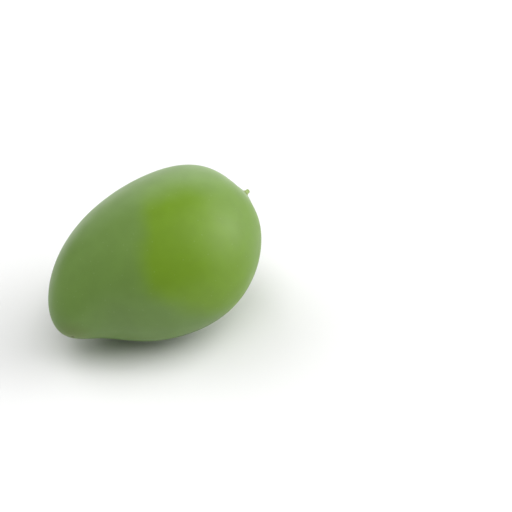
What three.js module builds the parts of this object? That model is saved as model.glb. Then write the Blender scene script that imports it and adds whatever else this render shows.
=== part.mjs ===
// A whole green mango, as picked, lying on its lower cheek with a short stub of its stalk left on.
// Millimetres. X runs through the fruit towards the stalk, Y towards its convex back, Z up.
// The origin is under the middle of the fruit, on the surface that it lies on.
import * as THREE from "three";
import { mergeVertices } from "three/addons/utils/BufferGeometryUtils.js";

// Driving dimensions of the fruit, in its own axes: x from its middle towards the stalk,
// y across its cheeks, z from the hollowed belly towards the convex back.
const LENGTH = 125.1; // from the tip to the stalk end, before the shaping of that end below
const BACK = 45.5; // height of the back above the axis, before its fullness below
const BELLY = 36.8; // depth of the belly below the axis, the same way
const THICKNESS = 75.4; // across the cheeks, the same way

// How each outline differs from an ellipse: fuller towards the stalk end, fuller at both ends
// than in the middle, and a slow wave along the fruit.
const BACK_FULLNESS = { stalkEnd: 0.206, bothEnds: 0.046, wave: 0.049 };
const BELLY_FULLNESS = { stalkEnd: 0.125, bothEnds: -0.141, wave: -0.045 };
const CHEEK_FULLNESS = { stalkEnd: 0.2, bothEnds: -0.06, wave: 0 };

const AXIS_DROP = 1.2; // the stalk end's offset towards the belly, and the tip's towards the back
const BACK_BREADTH = 0.054; // share by which a section is broader on its back side than below

// The hollow in the belly line just before the blunt beak at the tip.
const BEAK_HOLLOW = { depth: 8, place: -47.1, reach: 15 };

// The stalk end: flattened round the stalk, which grows out of a low neck, off the axis towards
// the back, with a small pit in its top that holds the root.
const STALK_OFFSET = 7.2;
const FLATTENING = { depth: 3.7, reach: 21.3 };
const NECK = { height: 4.8, reach: 8.9 };
const PIT = { depth: 0.7, reach: 3.4 };

// How the fruit lies: rolled from belly-down onto its cheek, with the heavy stalk end raised.
const ROLL_DEG = -78;
const RISE_DEG = -11;
const FLAT_DEPTH = 0.7; // how far the skin gives where it rests, which leaves a small flat spot

// Driving dimensions of the stalk stub, along its own axis from the fruit outwards.
const STUB_LENGTH = 2.9;
const ROOT_RADIUS = 1.9; // the swollen root that sits in the pit, where it is widest
const ROOT_SWELL_HEIGHT = 0.4; // how high up that is
const ROOT_FOOT_RADIUS = 1.6;
const ROOT_TOP_RADIUS = 1.7;
const ROOT_HEIGHT = 0.9;
const SHAFT_RADIUS = 1.35;
const SHAFT_HEIGHT = 1.3; // where the root has narrowed to the shaft
const CUT_RADIUS = 1.2;
const CUT_BEVEL = 0.2;
const STUB_BEND = 0.1; // how far the cut end bends towards the fruit's back
const STUB_TILT_DEG = 4; // how far the stub leans from the fruit's long axis towards the back
const STUB_GAP = 0.4; // between the root's flat underside and the bottom of the pit

const SKIN_STEPS = 26; // steps along each side of the six patches of the skin
const STUB_SIDES = 24;

// An outline's height at an angle along the fruit, 0 at the stalk end and a half turn at the tip.
function outline(height, fullness, along) {
  const shape =
    1 +
    fullness.stalkEnd * Math.cos(along) +
    fullness.bothEnds * Math.cos(2 * along) +
    fullness.wave * Math.cos(3 * along);
  return height * Math.sin(along) * shape;
}

// A smooth hump of height 1 that dies away over its reach.
const hump = (distance, reach) => Math.exp(-((distance / reach) ** 2));

// The point of the skin that lies in a direction from the fruit's middle.
function skinPoint(direction) {
  const along = Math.acos(THREE.MathUtils.clamp(direction.x, -1, 1));
  const around = Math.atan2(direction.y, direction.z);
  const place = (LENGTH / 2) * Math.cos(along);
  const hollow =
    BEAK_HOLLOW.depth * Math.sin(along) * hump(place - BEAK_HOLLOW.place, BEAK_HOLLOW.reach);
  const back = outline(BACK, BACK_FULLNESS, along);
  const belly = hollow - outline(BELLY, BELLY_FULLNESS, along);
  const cheek = outline(THICKNESS / 2, CHEEK_FULLNESS, along);
  const across = cheek * Math.sin(around) * (1 + BACK_BREADTH * Math.cos(around));
  const up = (back + belly) / 2 + ((back - belly) / 2) * Math.cos(around);
  const fromStalk = Math.hypot(across, up - STALK_OFFSET);
  const rise =
    NECK.height * hump(fromStalk, NECK.reach) -
    PIT.depth * hump(fromStalk, PIT.reach) -
    FLATTENING.depth * hump(fromStalk, FLATTENING.reach);
  return new THREE.Vector3(
    place + (place > 0 ? rise : 0),
    across,
    up - AXIS_DROP * Math.cos(along),
  );
}

// The six sides of a box, rounded into a ball, drawn out into the fruit and flattened where it rests.
function fruitGeometry(upwards) {
  const box = new THREE.BoxGeometry(2, 2, 2, SKIN_STEPS, SKIN_STEPS, SKIN_STEPS);
  box.deleteAttribute("normal");
  box.deleteAttribute("uv");
  const skin = mergeVertices(box);
  const positions = skin.getAttribute("position");
  const points = [];
  for (let i = 0; i < positions.count; i += 1) {
    const onBox = new THREE.Vector3().fromBufferAttribute(positions, i);
    // Tangents even out the steps between the middle and the corners of a side.
    const direction = new THREE.Vector3(
      ...onBox.toArray().map((t) => Math.tan((t * Math.PI) / 4)),
    ).normalize();
    points.push(skinPoint(direction));
  }
  const floor = Math.min(...points.map((p) => p.dot(upwards))) + FLAT_DEPTH;
  points.forEach((point, i) => {
    point.addScaledVector(upwards, Math.max(floor - point.dot(upwards), 0));
    positions.setXYZ(i, ...point);
  });
  return skin;
}

// The stub lies along x: a swollen root, then a shaft that tapers and bends to the cut end.
function stubGeometry() {
  const profile = [
    [0, 0],
    [ROOT_FOOT_RADIUS, 0],
    [ROOT_RADIUS, ROOT_SWELL_HEIGHT],
    [ROOT_TOP_RADIUS, ROOT_HEIGHT],
    [SHAFT_RADIUS, SHAFT_HEIGHT],
    [(SHAFT_RADIUS + CUT_RADIUS) / 2, (SHAFT_HEIGHT + STUB_LENGTH) / 2],
    [CUT_RADIUS, STUB_LENGTH - CUT_BEVEL],
    [CUT_RADIUS - CUT_BEVEL, STUB_LENGTH],
    [0, STUB_LENGTH],
  ].map(([radius, height]) => new THREE.Vector2(radius, height));
  const stub = new THREE.LatheGeometry(profile, STUB_SIDES);
  stub.rotateZ(-Math.PI / 2);
  const positions = stub.getAttribute("position");
  for (let i = 0; i < positions.count; i += 1) {
    const share = positions.getX(i) / STUB_LENGTH;
    positions.setZ(i, positions.getZ(i) + STUB_BEND * share ** 2);
  }
  return stub;
}

const lying = new THREE.Group();
lying.rotation.set(
  THREE.MathUtils.degToRad(ROLL_DEG),
  THREE.MathUtils.degToRad(RISE_DEG),
  0,
  "YXZ",
);
const upwards = new THREE.Vector3(0, 0, 1).applyQuaternion(lying.quaternion.clone().invert());

const fruit = new THREE.Mesh(
  fruitGeometry(upwards),
  new THREE.MeshStandardMaterial({ color: 0x6f9438, roughness: 0.45, metalness: 0 }),
);
fruit.name = "mango_fruit";
lying.add(fruit);

const stub = new THREE.Mesh(
  stubGeometry(),
  new THREE.MeshStandardMaterial({ color: 0x86975d, roughness: 0.8, metalness: 0 }),
);
stub.name = "stalk_stub";
const endFullness = Object.values(BACK_FULLNESS).reduce((sum, term) => sum + term, 1);
const toStalk = new THREE.Vector3(1, 0, STALK_OFFSET / (BACK * endFullness)).normalize();
const pitFloor = skinPoint(toStalk);
stub.rotation.y = THREE.MathUtils.degToRad(-STUB_TILT_DEG);
stub.position.copy(pitFloor);
stub.translateX(STUB_GAP);
lying.add(stub);

// The whole fruit is set down with the origin under its middle.
const mango = new THREE.Group();
mango.add(lying);
const bounds = new THREE.Box3().setFromObject(mango, true);
const middle = bounds.getCenter(new THREE.Vector3());
lying.position.set(-middle.x, -middle.y, -bounds.min.z);

export default mango;
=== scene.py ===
"""A whole green mango on a pale studio floor: its skin, its stub of stalk, the camera and the light."""

import math

import bmesh
import bpy
import numpy as np
from mathutils import Matrix, Vector, noise


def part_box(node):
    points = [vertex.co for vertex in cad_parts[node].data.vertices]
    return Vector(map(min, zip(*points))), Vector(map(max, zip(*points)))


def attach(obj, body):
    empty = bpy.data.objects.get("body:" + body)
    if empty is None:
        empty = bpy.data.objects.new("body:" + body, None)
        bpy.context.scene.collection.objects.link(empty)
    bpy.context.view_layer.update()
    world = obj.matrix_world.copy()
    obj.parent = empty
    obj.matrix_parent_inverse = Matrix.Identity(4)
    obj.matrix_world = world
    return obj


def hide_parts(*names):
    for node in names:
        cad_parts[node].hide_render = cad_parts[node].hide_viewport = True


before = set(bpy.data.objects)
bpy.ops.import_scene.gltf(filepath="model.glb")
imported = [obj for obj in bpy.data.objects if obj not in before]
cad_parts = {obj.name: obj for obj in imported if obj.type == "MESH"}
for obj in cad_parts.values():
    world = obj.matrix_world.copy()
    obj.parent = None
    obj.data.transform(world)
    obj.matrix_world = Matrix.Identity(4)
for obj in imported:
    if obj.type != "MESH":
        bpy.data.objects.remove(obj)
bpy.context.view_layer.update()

# The view, in degrees, metres and pixels of a picture 512 pixels wide and high.
PICTURE = 512
VIEW_AZIMUTH = -37.4
VIEW_ELEVATION = 40
VIEW_ANGLE = 17.5
VIEW_DISTANCE = 0.8595
FRUIT_PIXEL = (156.2, 259.7)  # where the middle of the fruit's box lies in the picture
LIGHT_SPREAD = 50  # degrees across each soft light
ROOM_LIGHT = 0.14  # the strength of the light that comes from the white room itself
FLOOR_GREY = (0.84, 0.84, 0.84, 1)
FLOOR_RADIUS = 12

# How the fruit lies, in degrees: rolled onto its cheek, with the stalk end raised.
ROLL = -78
RISE = -11

# The fruit's form in its own axes, in metres: x from its middle towards the stalk,
# y across its cheeks, z from the hollowed belly towards the convex back.
LENGTH = 0.1251
BACK = 0.0455
BELLY = 0.0368
THICKNESS = 0.0754
BACK_FULLNESS = (0.206, 0.046, 0.049)  # towards the stalk end, at both ends, and a slow wave
BELLY_FULLNESS = (0.125, -0.141, -0.045)
CHEEK_FULLNESS = (0.2, -0.06, 0)
AXIS_DROP = 0.0012
BACK_BREADTH = 0.054
HOLLOW_DEPTH, HOLLOW_PLACE, HOLLOW_REACH = 0.008, -0.0471, 0.015
STALK_OFFSET = 0.0072
FLATTENING_DEPTH, FLATTENING_REACH = 0.0037, 0.0213
NECK_HEIGHT, NECK_REACH = 0.0048, 0.0089
PIT_DEPTH, PIT_REACH = 0.0007, 0.0034
SKIN_STEPS = 96  # along each side of the six patches of the skin

# The skin's relief, all of it inwards from the form above.
SWELL_DEPTH, SWELL_SIZE = 0.0003, 0.030  # broad unevenness of the flesh
FOLD_DEPTH, FOLDS = 0.00022, 9  # the folds that run down from the stalk
FOLD_PLACE, FOLD_REACH = 0.0046, 0.0026
FOLD_UNEVENNESS = 1.3  # how far the folds are from evenly spaced, in radians of their wave
SCAR_TOWARDS = (-0.94, 0.10, -0.33)  # from the fruit's middle to the flower's scar on the beak
SCAR_DEPTH, SCAR_REACH = 0.0005, 0.0011

# The skin's colours. Each border between them lies across a direction in the fruit's own axes,
# from one distance to another along it in metres, and wanders with a broad noise.
PLAIN_GREEN = (0.135, 0.235, 0.050, 1)
SUNNED_GREEN = (0.139, 0.255, 0.0134, 1)
# The paler green of the back is partly the skin's waxy bloom and partly painted reflection of the
# lights above and behind.
BLOOM_AND_REFLECTION_GREEN = (0.238, 0.348, 0.145, 1)
SHOULDER_SIDE, SHOULDER_BORDER = (0.793, 0, -0.609), (-0.0055, 0.0065)
CHEEK_SIDE, CHEEK_BORDER = (0.70, -0.714, 0), (0, 0.014)
BACK_SIDE, BACK_BORDER = (0.33, 0, 0.944), (0.007, 0.038)
FADE_BORDER, FADED_SHARE = (0.022, 0.042), 0.6  # the sunned green fades towards the stalk
WANDER, WANDER_SIZE = 0.010, 0.028
MOTTLE_SIZE, DARK_MOTTLE, LIGHT_MOTTLE = 0.008, 0.97, 1.03

# The marks on the skin, with how strongly each one covers what lies under it.
BEAK_OLIVE, BEAK_SHARE = (0.16, 0.15, 0.04, 1), 0.3
SCAR_BROWN, SCAR_SHARE = (0.07, 0.05, 0.02, 1), 0.85
COLLAR_GREEN, COLLAR_SHARE = (0.24, 0.31, 0.10, 1), 0.4
DOT_GREEN, DOT_SHARE, DOT_SPACING = (0.34, 0.42, 0.20, 1), 0.15, 0.0036
GRAIN_SIZE, GRAIN_DEPTH = 0.0012, 0.00002

# The stub of stalk, in metres along its own axis from the fruit outwards.
STUB_LENGTH = 0.0029
ROOT_RADIUS, ROOT_SWELL_HEIGHT, ROOT_REACH = 0.0019, 0.0004, 0.0007
SHAFT_RADIUS, CUT_RADIUS, CUT_BEVEL = 0.00135, 0.0012, 0.0002
STUB_BEND = 0.0001
STUB_TILT = 4  # degrees from the fruit's long axis towards the back
STUB_GAP = 0.0004  # from the pit's floor up to where the stub's own heights start
ROOT_SINK = 0.0009  # how far the root reaches down from there, into the skin
STUB_ROWS, STUB_SIDES = 64, 120
RIBS, RIB_DEPTH = 11, 0.05  # the fine ribs of the bark, as a share of the radius
LUMP_SIZE, LUMP_DEPTH = 0.0007, 0.08
CUT_DISH = 0.00015  # how far the cut has dried hollow
UNDER_SHARES = np.linspace(0.1, 0.9, 5)  # where the rings under the root lie, as shares of its radius
CUT_SHARES = np.linspace(0.92, 0.08, 10)

# The stub's colours.
BARK_DARK, BARK_LIGHT = (0.24, 0.35, 0.11, 1), (0.37, 0.46, 0.20, 1)
ROOT_BROWN, ROOT_SHARE = (0.19, 0.17, 0.06, 1), 0.6
WOOD_DARK, WOOD_LIGHT = (0.42, 0.36, 0.20, 1), (0.55, 0.48, 0.30, 1)
PITH_BROWN = (0.12, 0.08, 0.04, 1)
FIBRE_SIZE, FIBRE_DEPTH = 0.0004, 0.00006
WOOD_RINGS = 18000  # radians of the rings' wave for each metre from the middle of the cut

own_axes = Matrix.Rotation(math.radians(RISE), 3, "Y") @ Matrix.Rotation(math.radians(ROLL), 3, "X")


def hump(distance, reach):
    """A smooth hump of height 1 that dies away over its reach."""
    return np.exp(-((distance / reach) ** 2))


def outline(height, fullness, along):
    """An outline's height at an angle along the fruit, 0 at the stalk end and pi at the tip."""
    stalk_end, both_ends, wave = fullness
    shape = 1 + stalk_end * np.cos(along) + both_ends * np.cos(2 * along) + wave * np.cos(3 * along)
    return height * np.sin(along) * shape


def skin_form(directions):
    """The points of the skin in these directions from the fruit's middle, in its own axes."""
    along = np.arccos(np.clip(directions[:, 0], -1, 1))
    around = np.arctan2(directions[:, 1], directions[:, 2])
    place = LENGTH / 2 * np.cos(along)
    hollow = HOLLOW_DEPTH * np.sin(along) * hump(place - HOLLOW_PLACE, HOLLOW_REACH)
    back = outline(BACK, BACK_FULLNESS, along)
    belly = hollow - outline(BELLY, BELLY_FULLNESS, along)
    cheek = outline(THICKNESS / 2, CHEEK_FULLNESS, along)
    across = cheek * np.sin(around) * (1 + BACK_BREADTH * np.cos(around))
    up = (back + belly) / 2 + (back - belly) / 2 * np.cos(around)
    from_stalk = np.hypot(across, up - STALK_OFFSET)
    neck = NECK_HEIGHT * hump(from_stalk, NECK_REACH) - PIT_DEPTH * hump(from_stalk, PIT_REACH)
    rise = neck - FLATTENING_DEPTH * hump(from_stalk, FLATTENING_REACH)
    return np.column_stack([place + rise * (place > 0), across, up - AXIS_DROP * np.cos(along)])


def stalk_seat():
    """The bottom of the pit that holds the stalk, in the fruit's own axes."""
    towards_stalk = Vector((1, 0, STALK_OFFSET / (BACK * (1 + sum(BACK_FULLNESS))))).normalized()
    return skin_form(np.array([towards_stalk]))[0]


def scar_place():
    """The scar that the flower left, in the fruit's own axes."""
    return skin_form(np.array([Vector(SCAR_TOWARDS).normalized()]))[0]


def relief(points):
    """How far the skin lies inside its plain form at each point, in metres."""
    swell = np.array([noise.noise(Vector(p) / SWELL_SIZE) for p in points])
    from_stalk = points - stalk_seat()
    radius = np.hypot(from_stalk[:, 1], from_stalk[:, 2])
    turn = np.arctan2(from_stalk[:, 1], from_stalk[:, 2])
    folds = (1 + np.cos(FOLDS * turn + FOLD_UNEVENNESS * np.sin(2 * turn))) / 2
    folds = folds * hump(radius - FOLD_PLACE, FOLD_REACH) * (points[:, 0] > 0)
    scar = hump(np.linalg.norm(points - scar_place(), axis=1), SCAR_REACH)
    return SWELL_DEPTH * (1 + swell) / 2 + FOLD_DEPTH * folds + SCAR_DEPTH * scar


def box_ball(steps):
    """A box whose sides are cut into steps, rounded into a ball of evenly sized quads."""
    ball = bmesh.new()
    bmesh.ops.create_cube(ball, size=2)
    bmesh.ops.subdivide_edges(ball, edges=ball.edges, cuts=steps - 1, use_grid_fill=True)
    for vertex in ball.verts:
        vertex.co = Vector([math.tan(t * math.pi / 4) for t in vertex.co]).normalized()
    return ball


def new_object(name, mesh):
    """An object in the scene that shows a mesh, smoothly shaded."""
    mesh.shade_smooth()
    made = bpy.data.objects.new(name, mesh)
    bpy.context.scene.collection.objects.link(made)
    return made


def place_points(mesh, own, lying):
    """Moves a mesh's points to where they lie, and keeps their own coordinates for its material."""
    mesh.vertices.foreach_set("co", lying.ravel())
    kept = mesh.attributes.new("own", "FLOAT_VECTOR", "POINT")
    kept.data.foreach_set("vector", own.ravel())
    mesh.update()


def make_skin():
    """The whole skin, and the place of the fruit's own middle in the row frame."""
    ball = box_ball(SKIN_STEPS)
    ball.normal_update()
    mesh = bpy.data.meshes.new("mango_skin")
    ball.to_mesh(mesh)
    ball.free()
    directions = np.zeros(len(mesh.vertices) * 3)
    mesh.vertices.foreach_get("co", directions)
    own = skin_form(directions.reshape(-1, 3))
    mesh.vertices.foreach_set("co", own.ravel())
    mesh.update()
    normals = np.zeros(len(mesh.vertices) * 3)
    mesh.vertex_normals.foreach_get("vector", normals)
    own = own - normals.reshape(-1, 3) * relief(own)[:, None]

    lying = own @ np.array(own_axes).T
    low, high = (np.array(corner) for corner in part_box("mango_fruit"))
    middle = (low + high) / 2 - (lying.min(0) + lying.max(0)) / 2
    middle[2] = high[2] - lying[:, 2].max()
    lying += middle
    lying[:, 2] = np.maximum(lying[:, 2], 0)
    place_points(mesh, own, lying)
    return new_object("mango_skin", mesh), middle


def stub_radius(height):
    """The stub's radius at heights above its underside: a swollen root, then a taper to the cut."""
    taper = SHAFT_RADIUS + (CUT_RADIUS - SHAFT_RADIUS) * height / STUB_LENGTH
    above_root = np.maximum(height - ROOT_SWELL_HEIGHT, 0)
    root = (ROOT_RADIUS - SHAFT_RADIUS) * hump(above_root, ROOT_REACH)
    bevel = CUT_BEVEL * hump(height - STUB_LENGTH, CUT_BEVEL)
    return taper + root - bevel


def stub_form():
    """Rings of points from the middle of the stub's underside to the middle of its cut."""
    side = np.linspace(-ROOT_SINK, STUB_LENGTH, STUB_ROWS)
    top = STUB_LENGTH - CUT_DISH * (1 - CUT_SHARES ** 2)
    height = np.concatenate([0 * UNDER_SHARES - ROOT_SINK, side, top])[:, None]
    share = np.concatenate([UNDER_SHARES, np.ones(STUB_ROWS), CUT_SHARES])[:, None]
    turn = np.linspace(0, 2 * math.pi, STUB_SIDES, endpoint=False)[None, :]
    ribs = 1 - RIB_DEPTH * (1 + np.cos(RIBS * turn + np.sin(3 * turn))) / 2
    radius = share * stub_radius(height) * ribs
    rings = np.stack([height + 0 * turn, radius * np.cos(turn), radius * np.sin(turn)], axis=-1)
    lumps = np.array([noise.noise(Vector(p) / LUMP_SIZE) for p in rings.reshape(-1, 3)])
    rings[..., 1:] *= 1 - LUMP_DEPTH * (1 + lumps.reshape(radius.shape)[..., None]) / 2
    rings[..., 2] += STUB_BEND * (height / STUB_LENGTH) ** 2
    return rings


def ring_mesh(name, rings):
    """A closed mesh through rings of points, with the first and the last ring filled in."""
    rows, sides = rings.shape[:2]
    number = np.arange(rows * sides).reshape(rows, sides)
    after = np.roll(number, -1, axis=1)
    quads = np.stack([number[:-1], after[:-1], after[1:], number[1:]], axis=-1).reshape(-1, 4)
    faces = quads.tolist() + [number[0, ::-1].tolist(), number[-1].tolist()]
    mesh = bpy.data.meshes.new(name)
    mesh.from_pydata(rings.reshape(-1, 3).tolist(), [], faces)
    return mesh


def make_stub(fruit_middle):
    """The stub, standing in its pit."""
    rings = stub_form()
    mesh = ring_mesh("stalk_stub", rings)
    own = rings.reshape(-1, 3)
    tilt = np.array(Matrix.Rotation(math.radians(-STUB_TILT), 3, "Y"))
    on_fruit = stalk_seat() + (own + [STUB_GAP, 0, 0]) @ tilt.T
    place_points(mesh, own, on_fruit @ np.array(own_axes).T + fruit_middle)
    return new_object("stalk_stub_bark", mesh)


class Shader:
    """A material's nodes. Inputs are given by name, as a value or as another node's output."""

    def __init__(self, name):
        self.material = bpy.data.materials.new(name)
        self.material.use_nodes = True
        self.tree = self.material.node_tree
        self.surface = self.tree.nodes["Principled BSDF"]

    def put(self, node, inputs):
        for name, value in inputs.items():
            socket = node.inputs[name]
            if isinstance(value, bpy.types.NodeSocket):
                self.tree.links.new(value, socket)
            else:
                socket.default_value = value

    def add(self, kind, inputs, output=0, **settings):
        node = self.tree.nodes.new(kind)
        for name, value in settings.items():
            setattr(node, name, value)
        self.put(node, inputs)
        return node.outputs[output]

    def own(self):
        return self.add("ShaderNodeAttribute", {}, "Vector", attribute_name="own")

    def noise(self, at, size, detail=2.0):
        inputs = {"Vector": at, "Scale": 1 / size, "Detail": detail}
        return self.add("ShaderNodeTexNoise", inputs, "Fac")

    def sum(self, first, second, times=1.0):
        inputs = {0: second, 1: times, 2: first}
        return self.add("ShaderNodeMath", inputs, operation="MULTIPLY_ADD")

    def product(self, first, second):
        return self.add("ShaderNodeMath", {0: first, 1: second}, operation="MULTIPLY")

    def stretched(self, at, factors):
        return self.add("ShaderNodeVectorMath", {0: at, 1: factors}, operation="MULTIPLY")

    def reach(self, at, direction):
        """How far a point lies in a direction."""
        inputs = {0: at, 1: Vector(direction).normalized()}
        return self.add("ShaderNodeVectorMath", inputs, "Value", operation="DOT_PRODUCT")

    def distance(self, at, place):
        return self.add("ShaderNodeVectorMath", {0: at, 1: place}, "Value", operation="DISTANCE")

    def step(self, value, start, end, low=0.0, high=1.0):
        """Rises smoothly from low to high as the value goes from start to end."""
        inputs = {"Value": value, "From Min": start, "From Max": end, "To Min": low, "To Max": high}
        return self.add("ShaderNodeMapRange", inputs, interpolation_type="SMOOTHSTEP")

    def mix(self, share, first, second):
        inputs = {0: share, 6: first, 7: second}
        return self.add("ShaderNodeMix", inputs, 2, data_type="RGBA")

    def bump(self, height, depth):
        return self.add("ShaderNodeBump", {"Height": height, "Distance": depth})


def skin_green(shader, own):
    """Green, yellower where the sun fell on it, and paler on its back, partly from a waxy bloom and
    partly from painted reflection of the light.
    """
    wander = shader.noise(own, WANDER_SIZE, 3)
    shoulder = shader.sum(shader.reach(own, SHOULDER_SIDE), wander, WANDER)
    cheek = shader.sum(shader.reach(own, CHEEK_SIDE), wander, WANDER)
    back = shader.sum(shader.reach(own, BACK_SIDE), wander, WANDER)
    sunned = shader.product(shader.step(shoulder, *SHOULDER_BORDER), shader.step(cheek, *CHEEK_BORDER))
    fade = shader.step(shader.reach(own, (1, 0, 0)), *FADE_BORDER, 1, FADED_SHARE)
    colour = shader.mix(shader.product(sunned, fade), PLAIN_GREEN, SUNNED_GREEN)
    # Paler towards the back: partly waxy bloom, partly painted reflection of the lights.
    colour = shader.mix(shader.step(back, *BACK_BORDER), colour, BLOOM_AND_REFLECTION_GREEN)
    mottle = shader.step(shader.noise(own, MOTTLE_SIZE, 4), 0.3, 0.7, DARK_MOTTLE, LIGHT_MOTTLE)
    return shader.add("ShaderNodeHueSaturation", {"Color": colour, "Value": mottle})


def beak_and_stalk_marks(shader, own, colour):
    """An olive tint round the flower's brown scar on the beak, and a paler collar at the stalk."""
    from_scar = shader.distance(own, scar_place())
    tint = shader.step(from_scar, 0.014, 0.001, 0, BEAK_SHARE)
    colour = shader.mix(tint, colour, BEAK_OLIVE)
    scar = shader.step(from_scar, 0.0014, 0.0005, 0, SCAR_SHARE)
    colour = shader.mix(scar, colour, SCAR_BROWN)
    from_stalk = shader.distance(own, stalk_seat())
    collar = shader.step(from_stalk, 0.0062, 0.0028, 0, COLLAR_SHARE)
    return shader.mix(collar, colour, COLLAR_GREEN)


def skin_material():
    """Satin skin with faint pale dots and a very fine grain."""
    shader = Shader("mango_skin")
    own = shader.own()
    colour = beak_and_stalk_marks(shader, own, skin_green(shader, own))
    cells = {"Vector": own, "Scale": 1 / DOT_SPACING, "Randomness": 1.0}
    dots = shader.step(shader.add("ShaderNodeTexVoronoi", cells, "Distance"), 0.13, 0.06)
    grain = shader.noise(own, GRAIN_SIZE, 3)
    shader.put(shader.surface, {
        "Base Color": shader.mix(shader.product(dots, DOT_SHARE), colour, DOT_GREEN),
        "Roughness": shader.step(shader.noise(own, 0.012, 3), 0.3, 0.7, 0.38, 0.46),
        "Normal": shader.bump(shader.sum(grain, dots, 0.5), GRAIN_DEPTH),
        "Specular IOR Level": 0.35,
    })
    return shader.material


def cut_wood(shader, from_axis):
    """Dry pale wood in faint rings round a dark pith."""
    rings = shader.add("ShaderNodeMath", {0: shader.product(from_axis, WOOD_RINGS)}, operation="SINE")
    wood = shader.mix(shader.step(rings, -1, 1), WOOD_DARK, WOOD_LIGHT)
    pith = shader.step(from_axis, 0.0003, 0.0001)
    return shader.mix(pith, wood, PITH_BROWN)


def stalk_material():
    """Green bark that turns brown at the root, and dry pale wood on the cut."""
    shader = Shader("stalk")
    own = shader.own()
    along = shader.reach(own, (1, 0, 0))
    fibres = shader.noise(shader.stretched(own, (0.25, 1, 1)), FIBRE_SIZE, 3)
    colour = shader.mix(fibres, BARK_DARK, BARK_LIGHT)
    root = shader.step(shader.sum(along, fibres, 0.0006), 0.0011, 0.0003, 0, ROOT_SHARE)
    colour = shader.mix(root, colour, ROOT_BROWN)
    from_axis = shader.distance(shader.stretched(own, (0, 1, 1)), (0, 0, 0))
    on_top = shader.step(along, STUB_LENGTH - 0.0003, STUB_LENGTH - 0.0002)
    inside = shader.step(from_axis, CUT_RADIUS * 0.9, CUT_RADIUS * 0.75)
    colour = shader.mix(shader.product(on_top, inside), colour, cut_wood(shader, from_axis))
    shader.put(shader.surface, {
        "Base Color": colour,
        "Roughness": shader.step(fibres, 0.2, 0.8, 0.6, 0.85),
        "Normal": shader.bump(fibres, FIBRE_DEPTH),
        "Specular IOR Level": 0.3,
    })
    return shader.material


def towards(azimuth, elevation):
    """The direction from the fruit to an onlooker, with azimuth 0 in front and 90 at the right."""
    a, e = math.radians(azimuth), math.radians(elevation)
    return Vector((math.sin(a) * math.cos(e), -math.cos(a) * math.cos(e), math.sin(e)))


def set_camera():
    """The photograph's view: the fruit's middle lands on its pixel, left of the picture's middle."""
    azimuth = math.radians(VIEW_AZIMUTH)
    back = towards(VIEW_AZIMUTH, VIEW_ELEVATION)
    right = Vector((math.cos(azimuth), math.sin(azimuth), 0))
    up = back.cross(right)
    low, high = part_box("mango_fruit")
    pixel = 2 * math.tan(math.radians(VIEW_ANGLE) / 2) / PICTURE * VIEW_DISTANCE
    across = (PICTURE / 2 - FRUIT_PIXEL[0]) * pixel
    above = (FRUIT_PIXEL[1] - PICTURE / 2) * pixel
    camera = bpy.data.objects.new("camera", bpy.data.cameras.new("camera"))
    camera.data.angle = math.radians(VIEW_ANGLE)
    place = (low + high) / 2 + right * across + up * above + back * VIEW_DISTANCE
    turned = Matrix((right, up, back)).transposed()
    camera.matrix_world = Matrix.Translation(place) @ turned.to_4x4()
    bpy.context.scene.collection.objects.link(camera)
    bpy.context.scene.camera = camera


def add_soft_light(name, turn, elevation, strength, reflected):
    """A wide soft light, turned from the camera's side to the right, seen in the gloss or not."""
    light = bpy.data.lights.new(name, "SUN")
    light.angle = math.radians(LIGHT_SPREAD)
    light.energy = strength
    lamp = bpy.data.objects.new(name, light)
    away = towards(VIEW_AZIMUTH + turn, elevation)
    lamp.rotation_euler = away.to_track_quat("Z", "Y").to_euler()
    lamp.visible_glossy = reflected
    bpy.context.scene.collection.objects.link(lamp)


def set_light():
    """Windows at the right and behind, which show in the gloss, and fill light that doesn't."""
    add_soft_light("right_low", 88, 20, 1.30, True)
    add_soft_light("right_high", 92, 50, 0.78, True)
    add_soft_light("right_behind", 120, 26, 0.95, True)
    add_soft_light("left", -90, 28, 0.10, True)
    add_soft_light("fill_overhead", 0, 75, 1.33, False)
    add_soft_light("fill_behind", -120, 50, 1.12, False)


def set_surroundings():
    """A white room to the eye, which gives only a little light of its own."""
    world = bpy.data.worlds.new("studio")
    world.use_nodes = True
    tree = world.node_tree
    eye = tree.nodes.new("ShaderNodeLightPath")
    strength = tree.nodes.new("ShaderNodeMapRange")
    strength.inputs["To Min"].default_value = ROOM_LIGHT
    tree.links.new(eye.outputs["Is Camera Ray"], strength.inputs["Value"])
    background = tree.nodes["Background"]
    background.inputs["Color"].default_value = (1, 1, 1, 1)
    tree.links.new(strength.outputs["Result"], background.inputs["Strength"])
    bpy.context.scene.world = world
    bpy.context.scene.view_settings.view_transform = "Standard"


def add_floor():
    """A plain pale floor that reaches past the edge of any view."""
    floor = bmesh.new()
    bmesh.ops.create_circle(floor, cap_ends=True, segments=96, radius=FLOOR_RADIUS)
    mesh = bpy.data.meshes.new("floor")
    floor.to_mesh(mesh)
    floor.free()
    shader = Shader("floor")
    shader.put(shader.surface, {"Base Color": FLOOR_GREY, "Roughness": 0.9})
    mesh.materials.append(shader.material)
    new_object("floor", mesh)


def add_piece(piece, material, node):
    """Fixes a dressed piece to the part, in place of one of its nodes."""
    piece.data.materials.append(material)
    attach(piece, "root")
    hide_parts(node)


set_camera()
set_light()
set_surroundings()
add_floor()
skin, fruit_middle = make_skin()
add_piece(skin, skin_material(), "mango_fruit")
add_piece(make_stub(fruit_middle), stalk_material(), "stalk_stub")
